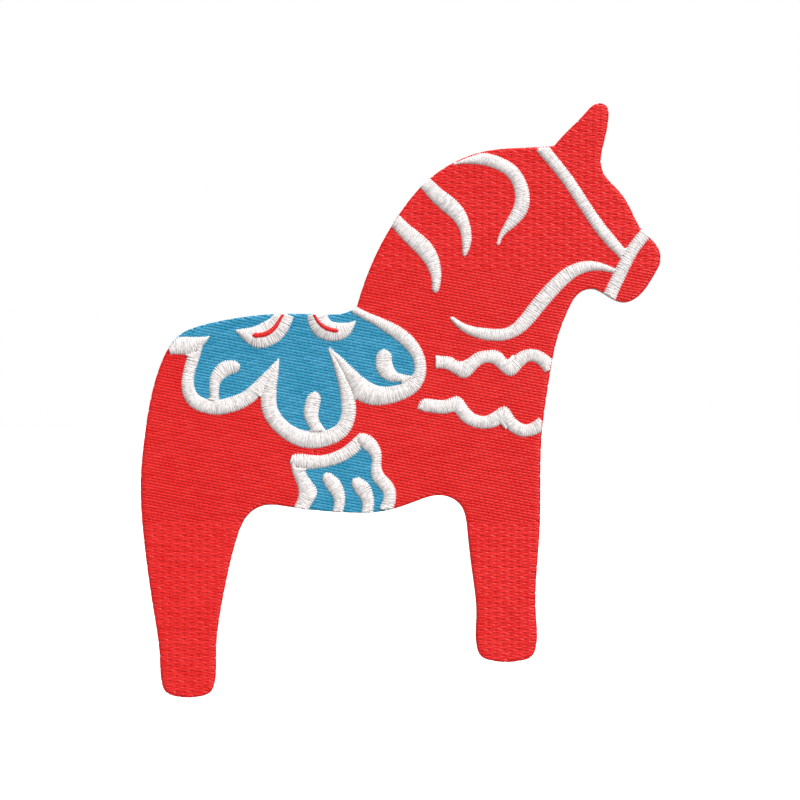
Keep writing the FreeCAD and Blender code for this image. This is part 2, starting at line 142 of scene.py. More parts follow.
threadLook = {
    "turns": 5.0,  # twists of the plies along one stitch
    "twistDepth": 0.012 * mm,
    "fibreDepth": 0.006 * mm,
    "fibreGrain": (14.0, 30.0, 1.0),
    "tickGrain": (9.0, 2.0, 60.0),  # along the stitch, round it, and from one stitch to the next
    "patchSize": 9.0 * mm,
    "patches": 0.3,  # how much each of these lightens the thread
    # crown: painted highlight in the middle of each stitch and painted shade towards its ends
    "crown": 0.3,
    "everywhere": 0.3,
    "fibreRoughness": 0.2,
    "holeRoughness": 0.5,  # a needle hole doesn't shine
    "relief": 0.7,
}


def threadFinish(name):
    colours = threadColours[name]
    finish, wire = newFinish(name)
    uv = wire.node("ShaderNodeTexCoord", {}, {}, "UV")
    along = wire.node("ShaderNodeSeparateXYZ", {}, {0: uv}, "X")
    around = wire.node("ShaderNodeSeparateXYZ", {}, {0: uv}, "Y")
    place = wire.node("ShaderNodeTexCoord", {}, {}, "Object")
    shade = wire.node("ShaderNodeAttribute", {"attribute_name": "shade"}, {}, "Fac")
    patches = wire.node("ShaderNodeTexNoise", {}, {"Vector": place, "Scale": 1 / threadLook["patchSize"],
                                                   "Detail": 3.0}, "Fac")
    alongGrain, aroundGrain, stitchGrain = threadLook["tickGrain"]
    speckled = wire.node("ShaderNodeCombineXYZ", {}, {"X": along * alongGrain, "Y": around * aroundGrain,
                                                      "Z": shade * stitchGrain})
    # painted shade: random dark ticks along each strand stand in for the shadow between its fibres
    ticks = wire.node("ShaderNodeTexNoise", {}, {"Vector": speckled, "Scale": 1.0, "Detail": 2.0}, "Fac")
    # painted highlight and shade along the stitch: 1 in its middle, 0 where it sinks into the needle holes
    crown = (along * (1.0 - along) * 4.0) ** 0.5
    lightness = (crown * threadLook["crown"] + threadLook["everywhere"] + (shade - 0.5) * colours["shade"]
                 + (patches - 0.5) * threadLook["patches"] + (ticks - 0.5) * colours["ticks"])
    colour = lightness.blend(opaque(colours["hole"]), opaque(colours["crown"]))
    twist = ((along * threadLook["turns"] + around) * (2 * math.pi)).sine()
    fibreGrain = wire.node("ShaderNodeMapping", {}, {"Vector": uv, "Scale": threadLook["fibreGrain"]})
    fibres = wire.node("ShaderNodeTexNoise", {}, {"Vector": fibreGrain, "Scale": 1.0, "Detail": 2.0}, "Fac")
    height = twist * threadLook["twistDepth"] + fibres * threadLook["fibreDepth"]
    normal = wire.node("ShaderNodeBump", {}, {"Height": height * (1.0 / mm),
                                              "Strength": threadLook["relief"], "Distance": mm})
    roughness = (fibres * threadLook["fibreRoughness"] + (1.0 - crown) * threadLook["holeRoughness"]
                 + colours["roughness"])
    shader = wire.node("ShaderNodeBsdfPrincipled", {}, {
        "Base Color": colour,
        "Roughness": roughness,
        "Normal": normal,
        "Specular IOR Level": colours["gloss"],
    })
    closeFinish(finish.node_tree, shader)
    return finish


finishes = {name: threadFinish(name) for name in threadColours}


# Cloth finishes

twillLook = {
    "colour": (0.92, 0.91, 0.90),
    "shadow": (0.80, 0.79, 0.78),
    "rib": 0.42 * mm,
    "pick": 0.294 * mm,
    "pickSlope": 0.6,
    "ribHeight": 0.6,
    "pickHeight": 0.4,
    "lint": 0.8 * mm,
    "lintHeight": 0.4,
    "weaveShade": 0.7,
    "lintShade": 0.4,
    "relief": 0.6,
    "depth": 0.05 * mm,
    "roughness": 0.75,
    "lintRoughness": 0.15,
    "sheen": 0.2,
}


def twillFinish():
    finish, wire = newFinish("whiteTwill")
    place = wire.node("ShaderNodeTexCoord", {}, {}, "Object")
    x = wire.node("ShaderNodeSeparateXYZ", {}, {0: place}, "X")
    z = wire.node("ShaderNodeSeparateXYZ", {}, {0: place}, "Z")
    ribs = ((x + z) * (2 * math.pi / twillLook["rib"])).sine() * 0.5 + 0.5
    picks = ((x - z * twillLook["pickSlope"]) * (2 * math.pi / twillLook["pick"])).sine() * 0.5 + 0.5
    lint = wire.node("ShaderNodeTexNoise", {}, {"Vector": place, "Scale": 1 / twillLook["lint"],
                                                "Detail": 4.0}, "Fac")
    weave = ribs * twillLook["ribHeight"] + picks * twillLook["pickHeight"]
    lightness = weave * twillLook["weaveShade"] + lint * twillLook["lintShade"]
    colour = lightness.blend(opaque(twillLook["shadow"]), opaque(twillLook["colour"]))
    normal = wire.node("ShaderNodeBump", {}, {"Height": weave + lint * twillLook["lintHeight"],
                                              "Strength": twillLook["relief"],
                                              "Distance": twillLook["depth"]})
    shader = wire.node("ShaderNodeBsdfPrincipled", {}, {
        "Base Color": colour,
        "Roughness": lint * twillLook["lintRoughness"] + twillLook["roughness"],
        "Normal": normal,
        "Sheen Weight": twillLook["sheen"],
    })
    closeFinish(finish.node_tree, shader)
    return finish


stabiliserLook = {
    "colour": (0.90, 0.90, 0.89),
    "shadow": (0.70, 0.70, 0.69),
    "fibre": 1.6 * mm,
    "turns": (0.3, 1.2, 2.2),
    "turnShare": 0.333,  # the fibres of each turn count alike
    "grain": (6.0, 1.0, 0.7),
    "relief": 0.7,
    "depth": 0.04 * mm,
    "roughness": 0.75,
    "fibreRoughness": 0.2,
}


def stabiliserFinish():
    # pressed fibres lying every way
    finish, wire = newFinish("pressedFibre")
    place = wire.node("ShaderNodeTexCoord", {}, {}, "Object")
    strands = None
    for turn in stabiliserLook["turns"]:
        grain = wire.node("ShaderNodeMapping", {}, {"Vector": place, "Rotation": (0.0, turn, 0.0),
                                                    "Scale": stabiliserLook["grain"]})
        layer = wire.node("ShaderNodeTexNoise", {}, {"Vector": grain, "Scale": 1 / stabiliserLook["fibre"],
                                                     "Detail": 3.0}, "Fac")
        strands = layer if strands is None else strands + layer
    fibres = strands * stabiliserLook["turnShare"]
    colour = fibres.blend(opaque(stabiliserLook["shadow"]), opaque(stabiliserLook["colour"]))
    normal = wire.node("ShaderNodeBump", {}, {"Height": fibres, "Strength": stabiliserLook["relief"],
                                              "Distance": stabiliserLook["depth"]})
    shader = wire.node("ShaderNodeBsdfPrincipled", {}, {
        "Base Color": colour,
        "Roughness": fibres * stabiliserLook["fibreRoughness"] + stabiliserLook["roughness"],
        "Normal": normal,
    })
    closeFinish(finish.node_tree, shader)
    return finish


finishes["whiteTwill"] = twillFinish()
finishes["pressedFibre"] = stabiliserFinish()
print("finishes mixed:", len(finishes))


# Reading the frame

sameCorner = 0.002 * mm  # corners of a node closer than this are one
facingFront = -0.9  # the front is towards -Y


def stitchedSide(node):
    # the faces of the node that are seen from the front
    shape = bmesh.new()
    shape.from_mesh(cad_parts[node].data)
    bmesh.ops.remove_doubles(shape, verts=shape.verts, dist=sameCorner)
    away = [face for face in shape.faces if face.normal.y > facingFront]
    bmesh.ops.delete(shape, geom=away, context="FACES")
    return shape


def faceEdges(node):
    # the outline of the node's stitched side, as straight pieces between (x, z) points
    shape = stitchedSide(node)
    edges = [[vert.co.xz for vert in edge.verts] for edge in shape.edges if edge.is_boundary]
    shape.free()
    return np.array(edges)


def levels(node):
    # how far the node's back and its face stand out from the back plane
    low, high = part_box(node)
    return -high.y, -low.y


def spansAlong(edges, start, along):
    # the stretches of a straight line that lie on the piece, measured from start
    across = np.array([-along[1], along[0]])
    side = (edges - start) @ across
    crossed = (side[:, 0] > 0) != (side[:, 1] > 0)
    near, far = edges[crossed, 0], edges[crossed, 1]
    share = side[crossed, 0] / (side[crossed, 0] - side[crossed, 1])
    points = near + (far - near) * share[:, None]
    return np.sort((points - start) @ np.array(along)).reshape(-1, 2)


def distancesAlong(line):
    # how far along the line each of its points is
    return np.insert(np.cumsum(np.linalg.norm(np.diff(line, axis=0), axis=1)), 0, 0.0)


def placesAt(distances, travelled, line):
    # points at the given distances along the line
    return np.stack([np.interp(distances, travelled, line[:, axis]) for axis in (0, 1)], 1)


# Sewing: each stitch is a run of (x, z, height from the back, thickness share)

closedEnd = 0.0005 * mm  # the end of a stitch comes to one point


def threadSection(width, height, sides):
    section = bpy.data.curves.new("threadSection", "CURVE")
    section.dimensions = "2D"
    ring = section.splines.new("POLY")
    ring.points.add(sides - 1)
    ring.use_cyclic_u = True
    for number, point in enumerate(ring.points):
        turn = 2 * math.pi * (number + 0.5) / sides
        point.co = (width / 2 * math.cos(turn), height / 2 * math.sin(turn), 0, 1)
    made = bpy.data.objects.new("threadSection", section)
    bpy.context.scene.collection.objects.link(made)
    return made


def sew(name, stitches, thread, finish, chance, tone=0.0):
    section = threadSection(thread["width"], thread["height"], thread["sides"])
    line = bpy.data.curves.new(name, "CURVE")
    line.dimensions = "3D"
    line.twist_mode = "Z_UP"
    line.bevel_mode = "OBJECT"
    line.bevel_object = section
    counts = []
    for stitch in stitches:
        run = np.array(stitch)
        spline = line.splines.new("POLY")
        spline.points.add(len(run) - 1)
        spline.points.foreach_set("co", np.insert(run[:, :3], 3, 1.0, axis=1).ravel())
        spline.points.foreach_set("radius", run[:, 3])
        counts.append(len(run) * thread["sides"])
    holder = bpy.data.objects.new(name + "Line", line)
    bpy.context.scene.collection.objects.link(holder)
    graph = bpy.context.evaluated_depsgraph_get()
    mesh = bpy.data.meshes.new_from_object(holder.evaluated_get(graph))
    shades = np.repeat([tone + chance.random() for stitch in stitches], counts)
    if len(shades) != len(mesh.vertices):
        raise RuntimeError(f"{name}: {len(shades)} points sewn and {len(mesh.vertices)} made")
    mesh.attributes.new("shade", "FLOAT", "POINT").data.foreach_set("value", shades)
    for used in (holder, section):
        data = used.data
        bpy.data.objects.remove(used)
        bpy.data.curves.remove(data)
    mesh.transform(Matrix.Rotation(math.pi / 2, 4, "X"))  # the hoop is stood up, face towards -Y
    shape = bmesh.new()
    shape.from_mesh(mesh)
    bmesh.ops.remove_doubles(shape, verts=shape.verts, dist=closedEnd)
    bmesh.ops.recalc_face_normals(shape, faces=shape.faces)
    shape.to_mesh(mesh)
    shape.free()
    mesh.shade_smooth()
    mesh.materials.clear()
    mesh.materials.append(finish)
    piece = bpy.data.objects.new(name, mesh)
    bpy.context.scene.collection.objects.link(piece)
    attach(piece, "root")
    return piece


def pieceName(node, ending):
    first, *rest = node.split("_")
    return first + "".join(word.capitalize() for word in rest) + ending


# Tatami fills: level rows of even stitches, whose needle holes step along from row to row

fill = {
    "pitch": 0.4 * mm,
    "stitch": 2.86 * mm,
    "step": 0.30,  # share of a stitch that the holes move by from row to row
    "firstHole": 0.45,
    "onSeam": 0.51,  # share of a row, so that a row on a seam goes to the piece above
    "shortest": 0.9 * mm,
    "narrowest": 0.3 * mm,
    "inside": 0.03 * mm,  # the first and last row stay this far inside the piece
    "toe": 0.12 * mm,  # the end of a stitch turns down over this length
    "longestToe": 1.1 * mm,  # at the end of a row under a flat slope
    "toeLimit": 0.4,  # share of a short stitch
    "toeRun": 0.6,  # share of the slope beside the end of the row
    "tipDrop": 0.06 * mm,  # the tip of the toe is in the needle hole
    "toeShare": {"stepped": 0.80, "brick": 0.90},
    "toeDrop": {"stepped": 0.06 * mm, "brick": 0.05 * mm},
    "overlap": {"stepped": 0.08 * mm, "brick": 0.26 * mm},  # two stitches share a needle hole
    "push": {"stepped": 0.053 * mm, "brick": 0.106 * mm},  # a stitch moves over into its neighbours' holes
    "wander": 0.012 * mm,
    "uneven": 0.02 * mm,
    "sizes": (0.95, 1.05),
    "bare": 0.04 * mm,  # cloth left showing beside a row
    "past": 0.12 * mm,  # how far the rows reach over the outline
    "ragged": 0.04 * mm,  # how unevenly the rows end
    "thread": {
        "stepped": {"width": 0.62 * mm, "height": 0.27 * mm, "sides": 6},
        "brick": {"width": 0.76 * mm, "height": 0.31 * mm, "sides": 6},
    },
    "arch": [(0.14, 0.03 * mm, 0.97), (0.30, 0.0, 1.0), (0.50, 0.0, 1.0), (0.70, 0.0, 1.0),
             (0.86, 0.03 * mm, 0.97)],  # share of the way between the toes, drop, width
}

# the thread, how its needle holes are laid out, and how much lighter the piece is than the rest
fillPieces = {
    "red_fill_head": ("redThread", "brick", 0.0),
    "red_fill_shoulder": ("redThread", "stepped", 0.0),
    "red_fill_forequarter": ("redThread", "stepped", -0.1),
    "red_fill_foreleg": ("redThread", "brick", 0.2),
    "red_fill_rump": ("redThread", "stepped", 0.0),
    "red_fill_haunch": ("redThread", "stepped", -0.15),
    "red_fill_hindleg": ("redThread", "brick", 0.2),
    "saddle_fill_upper": ("blueThread", "stepped", 0.0),
    "saddle_fill_lower": ("blueThread", "stepped", 0.0),
    "girth_fill": ("blueThread", "stepped", 0.0),
}


def rowOffset(row, pattern):
    if pattern == "stepped":
        return (fill["step"] * row % 1.0 + fill["firstHole"]) * fill["stitch"]
    halfway = 0.0 if math.cos(2 * math.pi * fill["step"] * row) > 0 else 0.5
    return (fill["firstHole"] + halfway) * fill["stitch"]


def needleHoles(low, high, offset):
    # both ends of the row, and the regular holes between them
    first = math.ceil((low + fill["shortest"] - offset) / fill["stitch"])
    last = math.floor((high - fill["shortest"] - offset) / fill["stitch"])
    return [low] + [offset + number * fill["stitch"] for number in range(first, last + 1)] + [high]


def rowHeight(row):
    return (row + 0.5) * fill["pitch"]


def rowsOver(node, pattern):
    # row number, needle holes and lengths of the two end toes, for each stretch of each row
    edges = faceEdges(node)
    low, high = edges[:, :, 1].min(), edges[:, :, 1].max()
    first = math.ceil(low / fill["pitch"] - fill["onSeam"])
    last = math.ceil(high / fill["pitch"] - fill["onSeam"])
    for row in range(first, last):
        z = min(max(rowHeight(row), low + fill["inside"]), high - fill["inside"])
        for start, end in spansAlong(edges, (0.0, z), (1.0, 0.0)):
            if end - start > fill["narrowest"]:
                toes = [toeLength(edges, x, z) for x in (start, end)]
                yield row, needleHoles(start, end, rowOffset(row, pattern)), toes


def toeLength(edges, x, z):
    # longer where the outline runs nearly level, so that the row thins out along it
    runs = []
    for shift in (-fill["pitch"] / 3, fill["pitch"] / 3):
        places = spansAlong(edges, (0.0, z + shift), (1.0, 0.0)).ravel()
        runs.append(min(abs(places - x), default=fill["longestToe"]))
    return min(max(fill["toeRun"] * max(runs), fill["toe"]), fill["longestToe"])


def holeNear(x, row, pattern):
    # 1 over a needle hole of the row and -1 halfway between two
    if pattern == "stepped":
        return math.cos(2 * math.pi * (x - rowOffset(row, pattern)) / fill["stitch"])
    across = math.cos(2 * math.pi * (x / fill["stitch"] - fill["firstHole"]))
    return across * math.cos(2 * math.pi * fill["step"] * row)


clothOutline = faceEdges("twill_ground")


def roomOnCloth(x, z):
    # how far it is straight up or down to the nearer edge of the cloth
    spans = spansAlong(clothOutline, (x, 0.0), (0.0, 1.0))
    return max((min(z - low, high - z) for low, high in spans), default=0.0)


def fillStitch(start, end, row, pattern, toes, face, chance):
    # a flat arch that bends towards the needle holes of the rows above and below
    length = end - start
    near, far = [min(toe, length * fill["toeLimit"]) for toe in toes]
    thread = fill["thread"][pattern]
    crown = face - thread["height"] / 2 - chance.uniform(0.0, fill["uneven"])
    drift = chance.uniform(-1, 1) * fill["wander"]
    size = chance.uniform(*fill["sizes"])
    halfWidth = thread["width"] / 2 * math.cos(math.pi / thread["sides"])
    toeDrop, toeShare = fill["toeDrop"][pattern], fill["toeShare"][pattern]
    arch = [(near + (length - near - far) * share, drop, width) for share, drop, width in fill["arch"]]
    nearToe = [(0.0, toeDrop + fill["tipDrop"], 0.0), (near, toeDrop, toeShare)]
    farToe = [(length - far, toeDrop, toeShare), (length, toeDrop + fill["tipDrop"], 0.0)]
    stitch = []
    for distance, drop, width in nearToe + arch + farToe:
        x = start + distance
        push = fill["push"][pattern] * (holeNear(x, row + 1, pattern) - holeNear(x, row - 1, pattern))
        z = rowHeight(row) + drift + push
        widest = (roomOnCloth(x, z) - fill["bare"]) / halfWidth
        stitch.append((x, z, crown - drop, max(0.0, min(width * size, widest))))
    return stitch


def sewFill(node, colour, pattern, tone):
    chance = random.Random(node)
    face = levels(node)[1]
    stitches = []
    overlap = fill["overlap"][pattern]
    for row, holes, toes in rowsOver(node, pattern):
        holes[0] += chance.uniform(0, fill["ragged"]) + overlap - fill["past"]
        holes[-1] -= chance.uniform(0, fill["ragged"]) + overlap - fill["past"]
        ends = [toes[0]] + [fill["toe"]] * (len(holes) - 2) + [toes[1]]
        for number in range(len(holes) - 1):
            start, end = holes[number] - overlap, holes[number + 1] + overlap
            stitches.append(fillStitch(start, end, row, pattern, ends[number:number + 2], face, chance))
    name = pieceName(node, "Rows")
    piece = sew(name, stitches, fill["thread"][pattern], finishes[colour], chance, tone)
    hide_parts(node)
    return len(stitches)


sewn = sum(sewFill(node, *details) for node, details in fillPieces.items())
print("fill stitches sewn:", sewn)


# Underlay: upright threads close together, so that no cloth shows between the rows

underlay = {
    "pitch": 0.42 * mm,
    "span": 3.0 * mm,
    "shortest": 0.6 * mm,
    "thread": {"width": 0.56 * mm, "height": 0.24 * mm, "sides": 6},
    "lift": 0.05 * mm,  # the threads stand up against the fill
    "wander": 0.03 * mm,
    "pieces": {"underlay_red": "redThread", "underlay_saddle": "blueThread",
               "underlay_girth": "blueThread"},
}

# a running stitch along the outline, which shows between the ends of the rows
edgeRun = {
    # painted shade: the run's colour is pushed far towards the thread's shaded colour
    "tone": -0.9,  # in the shade of the rows
    "step": 0.25 * mm,
    "stitch": 10,  # steps in one stitch
    "depth": 0.20 * mm,  # below the face of the fill
    "holeDepth": 0.06 * mm,  # and lower still at a needle hole
    "thread": {"width": 0.40 * mm, "height": 0.24 * mm, "sides": 6},
    "pieces": {"redEdgeRun": ("bobbin_thread_red_area", "redThread"),
               "saddleEdgeRun": ("bobbin_thread_saddle", "blueThread"),
               "girthEdgeRun": ("bobbin_thread_girth", "blueThread")},
}


def sewUnderlay(node, colour):
    chance = random.Random(node)
    back, face = levels(node)
    middle = (back + face) / 2 + underlay["lift"]
    edges = faceEdges(node)
    low, high = edges[:, :, 0].min(), edges[:, :, 0].max()
    lines = []
    first, last = math.ceil(low / underlay["pitch"]), math.floor(high / underlay["pitch"])
    for column in range(first, last + 1):
        x = column * underlay["pitch"]
        for start, end in spansAlong(edges, (x, 0.0), (0.0, 1.0)):
            if end - start < underlay["shortest"]:
                continue
            steps = max(2, round((end - start) / underlay["span"]))
            line = []
            for step in range(steps + 1):
                drift = chance.uniform(-1, 1) * underlay["wander"]
                share = 0.0 if step in (0, steps) else 1.0
                line.append((x + drift, start + (end - start) * step / steps, middle, share))
            lines.append(line)
    piece = sew(pieceName(node, "Threads"), lines, underlay["thread"], finishes[colour], chance)
    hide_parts(node)


def outsideLoop(node):
    # the longest closed outline of the piece, as evenly spaced (x, z) places
    joined = {}
    for first, second in faceEdges(node):
        joined.setdefault(tuple(first), []).append(tuple(second))
        joined.setdefault(tuple(second), []).append(tuple(first))
    longest = []
    while joined:
        ahead = next(iter(joined))
        loop = []
        while ahead in joined:
            loop.append(ahead)
            ahead = next((side for side in joined.pop(ahead) if side in joined), None)
        if len(loop) > len(longest):
            longest = loop
    loop = np.array(longest + longest[:1])
    travelled = distancesAlong(loop)
    steps = np.linspace(0.0, travelled[-1], round(travelled[-1] / edgeRun["step"]), endpoint=False)
    return placesAt(steps, travelled, loop)


def sewEdgeRun(name, node, colour):
    chance = random.Random(node)
    level = levels("red_fill_head")[1] - edgeRun["depth"]
    places = outsideLoop(node)
    stitches = []
    for first in range(0, len(places), edgeRun["stitch"]):
        last = min(first + edgeRun["stitch"], len(places))
        stitch = []
        for number in range(first, last + 1):
            x, z = places[number % len(places)]
            atHole = number in (first, last)
            if atHole:
                stitch.append((x, z, level - edgeRun["holeDepth"], 0.0))
            else:
                stitch.append((x, z, level, 1.0))
        stitches.append(stitch)
    # the edge run's tone paints it darker, as shade
    piece = sew(name, stitches, edgeRun["thread"], finishes[colour], chance, edgeRun["tone"])


for node, colour in underlay["pieces"].items():
    sewUnderlay(node, colour)
for name, (node, colour) in edgeRun["pieces"].items():
    sewEdgeRun(name, node, colour)
print("underlay and outline sewn")


# Satin columns: a zigzag across a guide line, from edge to edge of the column

satin = {
    "halfStep": 0.22 * mm,  # from one strand to the next, on the side where they lie further apart
    "fineStep": 0.04 * mm,
    "bends": 24,  # in the guide line, from one of its points to the next
    "overrun": 3.0 * mm,  # past the ends of the guide line, for rounded ends
    "eitherWay": 0.6 * mm,  # the guide line's direction is taken over this length ahead and behind
    "offMiddle": 0.15 * mm,  # how far beside the column the guide line can run
    "narrowest": 0.3 * mm,
    "ragged": 0.05 * mm,
    "wander": 0.03 * mm,
    "rim": 0.10 * mm,
    "rimShare": 0.12,  # of a narrow column
    "shoulder": 0.45 * mm,
    "shoulderShare": 0.3,
    "arch": {"edge": (0.10, 0.0), "rim": (0.45, 0.92), "shoulder": (0.86, 1.0),
             "middle": (1.0, 1.0)},  # height and width
    "lowest": 0.45,  # a narrow column is lower
    "fullHeight": 2.4 * mm,
    "rises": (0.94, 1.0),
    "sizes": (0.9, 1.08),
    "under": 0.5 * mm,  # how far a strand runs on below a column that is stitched over its edge
    "beyond": 1.4 * mm,  # and how far the strands carry on below one that is stitched over its end
    "beside": 0.1 * mm,  # columns this close meet
    "hidden": 0.2 * mm,  # what runs on below a column stays this far inside it
    "aboveCloth": 0.1 * mm,
    "intoCrescent": 0.25 * mm,
    "thread": {"width": 0.44 * mm, "height": 0.24 * mm, "sides": 6},
}

# columns whose edge or end lies under another column
tuckedUnder = {
    "cheek_strap": ["noseband"],
    "jaw_line": ["noseband"],
    "petal_border_rear": ["saddle_wedge", "petal_border_middle"],
    "petal_border_front": ["petal_border_middle"],
    "petal_comma_rear": ["petal_border_rear"],
    "petal_comma_middle": ["petal_border_middle"],
    "petal_comma_front": ["petal_border_front"],
    "girth_border_rear": ["girth_border_top"],
    "girth_border_top": ["girth_border_front"],
}

# guide lines, in millimetres as (x, z), along the middle of each column
guides = {
    "mane_lock_rear": [(-2.4, 36.4), (1.6, 31.95), (3.7, 30.1), (5.5, 28.0), (6.6, 25.6), (6.95, 23.7),
                       (6.85, 21.6)],
    "mane_lock_middle": [(3.6, 43.0), (7.3, 39.25), (9.45, 37.5), (11.3, 35.6), (12.5, 33.1),
                         (12.8, 30.9), (12.5, 28.4)],
    "mane_lock_front": [(9.6, 45.4), (13.1, 46.2), (16.3, 46.35), (18.9, 45.6), (21.2, 44.3),
                        (22.8, 42.1), (23.55, 39.5), (23.3, 37.1), (22.1, 35.0), (20.7, 33.35),
                        (19.0, 30.3)],
    "cheek_strap": [(25.6, 50.5), (29.6, 45.8), (34.1, 39.7), (38.5, 33.15), (40.8, 30.4), (43.9, 26.9)],
    "noseband": [(48.4, 33.4), (44.9, 29.1), (43.5, 26.6), (42.2, 24.0), (39.9, 18.9)],
    "jaw_line": [(42.4, 24.3), (40.0, 25.3), (37.2, 25.8), (34.5, 25.35), (32.0, 23.95), (29.9, 22.0),
                 (27.45, 19.3), (25.2, 16.5), (22.9, 14.0), (20.2, 12.65), (17.4, 12.6), (13.9, 13.25),
                 (10.2, 15.6)],
    "collar_wave_upper": [(7.0, 7.3), (9.7, 6.95), (12.3, 5.85), (15.0, 7.85), (17.0, 8.4), (19.0, 7.8),
                          (21.3, 6.2), (23.8, 8.25), (25.4, 8.65), (27.3, 7.9), (30.2, 4.6)],
    "collar_wave_lower": [(3.5, -1.65), (5.0, -0.95), (7.2, -1.3), (10.8, -0.8), (13.8, -3.75),
                          (16.0, -4.3), (18.3, -3.75), (19.85, -2.95), (22.6, -5.45), (24.3, -5.9),
                          (26.2, -5.3), (28.4, -3.8)],
    "saddle_wedge": [(-45.6, 10.3), (-43.4, 10.45), (-41.0, 10.45), (-39.2, 10.9), (-36.8, 12.2)],
    "petal_border_rear": [(-39.3, 10.2), (-40.7, 5.0), (-40.85, 2.6), (-39.9, 0.2), (-37.7, -1.1),
                          (-35.0, -1.4), (-32.3, -0.85), (-29.9, 0.15), (-27.9, 1.75), (-26.4, 3.75),
                          (-23.7, 7.8)],
    "petal_border_middle": [(-23.45, 7.9), (-24.9, 2.8), (-25.3, 0.5), (-25.1, -1.8), (-23.9, -4.0),
                            (-21.7, -6.1), (-19.0, -7.4), (-16.5, -7.7), (-13.7, -7.2), (-11.4, -5.95),
                            (-10.15, -3.8), (-9.9, -1.4), (-10.95, 3.5), (-12.9, 8.2), (-13.75, 10.0)],
    "petal_border_front": [(-10.4, 18.9), (-5.6, 15.75), (-2.4, 14.1), (0.3, 12.35), (2.6, 10.0),
                           (3.8, 7.4), (3.75, 4.9), (2.6, 3.0), (0.4, 1.6), (-2.3, 0.9), (-5.1, 0.95),
                           (-7.5, 2.1), (-9.4, 4.6), (-12.6, 8.8), (-13.8, 10.05)],
    "petal_comma_rear": [(-32.3, 6.3), (-33.8, 5.95), (-35.0, 4.85), (-35.7, 3.2), (-35.6, -0.6)],
    "petal_comma_middle": [(-16.6, 0.0), (-17.15, -2.8), (-16.75, -4.2), (-15.0, -6.9)],
    "petal_comma_front": [(-3.1, 8.0), (-3.1, 6.8), (-2.6, 5.6), (-1.5, 4.7), (2.4, 3.9)],
    "crescent_rear": [(-31.5, 13.35), (-29.8, 12.75), (-27.7, 12.15), (-25.3, 12.85), (-23.5, 14.2),
                      (-21.8, 18.0)],
    "crescent_front": [(-16.1, 18.0), (-15.9, 16.0), (-15.3, 14.4), (-13.9, 13.35), (-12.2, 13.15),
                       (-10.5, 13.6), (-8.7, 15.1)],
    "girth_border_rear": [(-19.2, -22.6), (-18.8, -20.4), (-17.7, -17.8), (-18.7, -15.6), (-19.6, -13.4),
                          (-19.9, -11.4)],
    "girth_border_top": [(-20.9, -11.5), (-19.2, -11.75), (-16.2, -11.95), (-13.4, -11.5), (-10.9, -10.5),
                         (-7.2, -7.2)],
    "girth_border_front": [(-7.7, -7.0), (-5.0, -9.6), (-4.5, -11.3), (-4.6, -13.0), (-4.2, -14.8),
                           (-2.9, -16.2), (-2.0, -17.9), (-2.2, -19.8), (-2.8, -22.4)],
    "girth_comma_rear": [(-13.7, -15.3), (-12.9, -16.2), (-12.1, -17.5), (-11.65, -19.0), (-12.2, -22.6)],
    "girth_comma_front": [(-8.0, -16.3), (-7.2, -17.1), (-6.5, -18.3), (-6.15, -19.6), (-6.4, -22.6)],
    "accent_rear": [(-27.7, 12.45), (-26.4, 12.55), (-25.0, 13.15), (-23.9, 14.2), (-22.2, 17.0)],
    "accent_front": [(-16.8, 17.2), (-16.1, 15.6), (-15.1, 14.4), (-13.8, 13.65), (-12.4, 13.35)],
}


def guideLine(points):
    # a smooth line through the points, as closely spaced places with their directions
    line = bpy.data.curves.new("guide", "CURVE")
    line.dimensions = "3D"
    spline = line.splines.new("BEZIER")
    spline.bezier_points.add(len(points) - 1)
    for knot, (x, z) in zip(spline.bezier_points, points):
        knot.co = (x * mm, z * mm, 0)
        knot.handle_left_type = "AUTO"
        knot.handle_right_type = "AUTO"
    spline.resolution_u = satin["bends"]
    holder = bpy.data.objects.new("guide", line)
    bpy.context.scene.collection.objects.link(holder)
    graph = bpy.context.evaluated_depsgraph_get()
    mesh = bpy.data.meshes.new_from_object(holder.evaluated_get(graph))
    drawn = np.array([vert.co.xy for vert in mesh.vertices])
    bpy.data.objects.remove(holder)
    bpy.data.curves.remove(line)
    bpy.data.meshes.remove(mesh)
    before, after = drawn[0] - drawn[1], drawn[-1] - drawn[-2]
    first = drawn[0] + before / np.linalg.norm(before) * satin["overrun"]
    last = drawn[-1] + after / np.linalg.norm(after) * satin["overrun"]
    drawn = np.vstack([first, drawn, last])
    travelled = distancesAlong(drawn)
    steps = np.arange(0.0, travelled[-1], satin["fineStep"])
    ahead = placesAt(steps + satin["eitherWay"], travelled, drawn)
    behind = placesAt(steps - satin["eitherWay"], travelled, drawn)
    directions = (ahead - behind) / np.linalg.norm(ahead - behind, axis=1)[:, None]
    return placesAt(steps, travelled, drawn), directions


def crossingOf(edges, place, across):
    # the stretch of the crossing line that holds the guide line, or none off the column
    for low, high in spansAlong(edges, place, across):
        if low <= satin["offMiddle"] and high >= -satin["offMiddle"] and high - low > satin["narrowest"]:
            return low, high
    return None


def satinStrand(left, right, sunk, crest, chance):
    # over the column in a low arch, from one needle hole to the other
    width = np.linalg.norm(right - left)
    along = (right - left) / width
    rim = min(satin["rim"], width * satin["rimShare"])
    shoulder = min(satin["shoulder"], width * satin["shoulderShare"])
    rise = (crest - sunk) * min(1.0, satin["lowest"] + width / satin["fullHeight"])
    rise *= chance.uniform(*satin["rises"])
    size = chance.uniform(*satin["sizes"])
    drift = np.array([-along[1], along[0]]) * chance.uniform(-satin["wander"], satin["wander"])
    half = [(0.0, "edge"), (rim, "rim"), (shoulder, "shoulder")]
    otherHalf = [(width - distance, part) for distance, part in reversed(half)]
    strand = []
    for distance, part in half + [(width / 2, "middle")] + otherHalf:
        height, share = satin["arch"][part]
        x, z = left + along * distance + drift * height
        strand.append((x, z, sunk + rise * height, share * size))
    return strand


